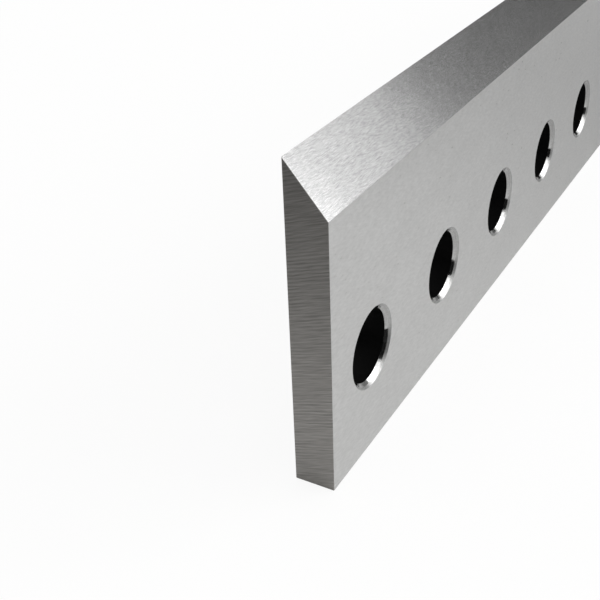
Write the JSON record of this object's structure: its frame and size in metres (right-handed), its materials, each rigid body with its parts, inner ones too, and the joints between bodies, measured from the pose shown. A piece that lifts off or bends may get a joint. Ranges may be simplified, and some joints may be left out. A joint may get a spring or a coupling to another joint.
{
  "type": "moulder knife",
  "caption": "Long flat ground-steel moulder knife with a bevelled cutting edge and a row of chamfered bolt holes near its back edge.",
  "frame": {"origin": "centre of the blade's box at its bottom: middle of the length and thickness, on the plane of the back edge it stands on", "axes": "+X along the blade, +Y out of the flat back face, -Y out of the face that the bevel is ground on, +Z from the back edge up to the cutting edge"},
  "size_m": [0.47, 0.01, 0.08],
  "materials": {
    "ground_tool_steel": "fine ground, bare steel"
  },
  "bodies": {
    "root": {"knife_blade": "ground_tool_steel"}
  },
  "joints": []
}
